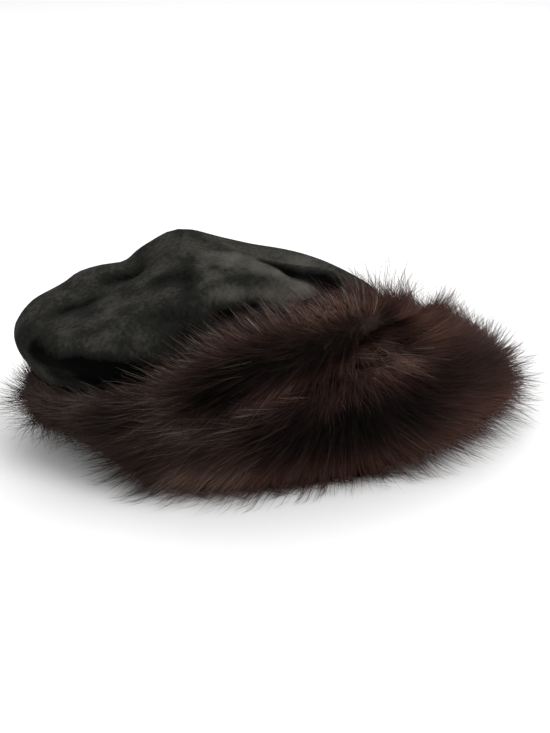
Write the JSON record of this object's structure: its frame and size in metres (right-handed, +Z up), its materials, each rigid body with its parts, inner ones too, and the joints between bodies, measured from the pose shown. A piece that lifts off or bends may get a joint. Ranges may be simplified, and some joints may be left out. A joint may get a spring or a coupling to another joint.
{
  "type": "half hat",
  "caption": "Small soft half hat: a draped black velvet crown, hollow underneath, with a wide brim of dark brown long-haired fur in an upper and a lower strip.",
  "frame": {"origin": "middle of the hat's own box in X and Y, on the ground that the hat stands on", "axes": "+X along the hat's length, towards the wide end of the brim; +Z up, from the open underside to the peak; -Y is the side where the fur stands highest"},
  "size_m": [0.225, 0.1586, 0.086],
  "materials": {
    "velvet": "short black pile, matt, with a soft sheen at its edges",
    "fur": "dense dark brown underfur with longer glossy guard hairs, some with grey tips"
  },
  "bodies": {
    "root": {"crown": "velvet", "lower_fur": "fur", "upper_fur": "fur"}
  },
  "joints": []
}
